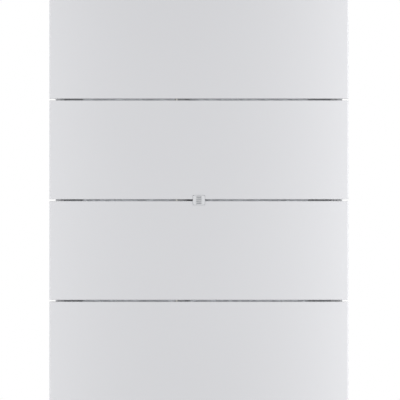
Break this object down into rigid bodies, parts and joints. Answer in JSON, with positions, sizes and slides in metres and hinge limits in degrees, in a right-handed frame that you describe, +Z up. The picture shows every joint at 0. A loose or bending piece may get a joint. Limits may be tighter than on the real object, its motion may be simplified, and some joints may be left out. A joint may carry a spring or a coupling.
{
  "type": "wall battery unit",
  "caption": "Slim wall-hung home battery: flat light grey clip-on front covers with narrow seams, a small charge gauge at the middle, controls on one side and glands below.",
  "frame": {"origin": "centre of the four wall bolts, on the wall plane", "axes": "+X to the right seen from the front, +Y into the wall, +Z up"},
  "size_m": [0.744, 0.1906, 0.9956],
  "materials": {
    "cover_coating": "satin light grey powder coat on aluminium sheet",
    "chassis_coating": "fine-textured light grey powder coat on steel sheet",
    "galvanised_steel": "galvanised steel sheet",
    "zinc_plate": "bright zinc-plated steel",
    "anodised_sleeve": "natural anodised extrusion",
    "black_polycarbonate": "fine-textured black moulding",
    "cell_can": "aluminium can in a blue insulating film",
    "cell_foam": "dark grey silicone foam",
    "busbar_aluminium": "bright rolled aluminium",
    "board_laminate": "green board laminate",
    "link_plug_polyamide": "grey polyamide",
    "power_cable_sheath": "dark grey silicone sheath",
    "data_cable_sheath": "black PVC sheath",
    "nylon": "natural nylon",
    "gland_polyamide": "dark grey polyamide",
    "gauge_frame": "light grey moulded bezel",
    "gauge_lens": "grey-tinted acrylic",
    "gauge_light_guide": "frosted smoked polycarbonate",
    "control_black": "black thermoplastic",
    "knob_red": "red thermoplastic",
    "fascia_yellow_grey": "white-grey laminate plate",
    "button_metal": "satin nickel-plated brass and stainless steel",
    "spring_steel": "spring wire",
    "contactor_moulding": "pale grey thermoset moulding",
    "fuse_ceramic": "white ceramic barrel on a moulded base"
  },
  "bodies": {
    "chassis": {"wall_rail_upper": "zinc_plate", "wall_rail_lower": "zinc_plate", "hanging_brackets": "zinc_plate", "securing_screws": "zinc_plate", "rear_panel": "chassis_coating", "side_rail_left": "chassis_coating", "side_rail_right": "chassis_coating", "top_cap": "chassis_coating", "shelf_upper": "galvanised_steel", "shelf_middle": "galvanised_steel", "shelf_lower": "galvanised_steel", "bottom_plate": "chassis_coating", "chassis_rivets": "zinc_plate", "cover_clip_sockets": "nylon", "gauge_bezel": "gauge_frame", "gauge_window": "gauge_lens", "gauge_light_bars": "gauge_light_guide", "gauge_board": "board_laminate", "gauge_lead": "power_cable_sheath", "battery_cells": "cell_can", "cell_pads": "cell_foam", "cell_links": "busbar_aluminium", "cell_boards": "board_laminate", "cell_end_plates": "busbar_aluminium", "panel_screws": "zinc_plate", "link_sockets": "black_polycarbonate", "power_plugs": "link_plug_polyamide", "power_link_cables": "power_cable_sheath", "data_link_cables": "data_cable_sheath", "control_case": "galvanised_steel", "control_lid": "chassis_coating", "isolator_housing": "control_black", "control_fascia": "fascia_yellow_grey", "start_button_bushing": "button_metal", "start_button_switch": "control_black", "start_button_spring": "spring_steel", "main_contactors": "contactor_moulding", "main_fuse": "fuse_ceramic", "control_board": "board_laminate", "output_terminals": "busbar_aluminium", "gland_bodies": "gland_polyamide", "gland_nuts_and_rings": "gland_polyamide", "earth_stud": "zinc_plate", "module_sleeve_1": "anodised_sleeve", "module_end_caps_1": "black_polycarbonate", "module_sleeve_2": "anodised_sleeve", "module_end_caps_2": "black_polycarbonate", "module_sleeve_3": "anodised_sleeve", "module_end_caps_3": "black_polycarbonate"},
    "isolator": {"isolator_knob": "knob_red", "isolator_shaft": "zinc_plate"},
    "start_button": {"start_button": "button_metal"},
    "cover_1": {"cover_1": "cover_coating", "cover_studs_1": "nylon"},
    "cover_2": {"cover_2": "cover_coating", "cover_studs_2": "nylon"},
    "cover_3": {"cover_3": "cover_coating", "cover_studs_3": "nylon"},
    "cover_4": {"cover_4": "cover_coating", "cover_studs_4": "nylon"}
  },
  "joints": [
    {"name": "cover_1_pull_off", "type": "slide", "parent": "chassis", "child": "cover_1", "axis": [0, -1, 0], "range_m": [0, 0.08]},
    {"name": "cover_2_pull_off", "type": "slide", "parent": "chassis", "child": "cover_2", "axis": [0, -1, 0], "range_m": [0, 0.08]},
    {"name": "cover_3_pull_off", "type": "slide", "parent": "chassis", "child": "cover_3", "axis": [0, -1, 0], "range_m": [0, 0.08]},
    {"name": "cover_4_pull_off", "type": "slide", "parent": "chassis", "child": "cover_4", "axis": [0, -1, 0], "range_m": [0, 0.08]},
    {"name": "isolator_turn", "type": "hinge", "parent": "chassis", "child": "isolator", "pos_m": [0.352, -0.1, -0.33], "axis": [1, 0, 0], "range_deg": [0, 90]},
    {"name": "start_button_press", "type": "slide", "parent": "chassis", "child": "start_button", "axis": [-1, 0, 0], "range_m": [0, 0.002], "stiffness_N_per_m": 800, "springref_m": -0.004, "deforming": ["start_button_spring"]}
  ]
}
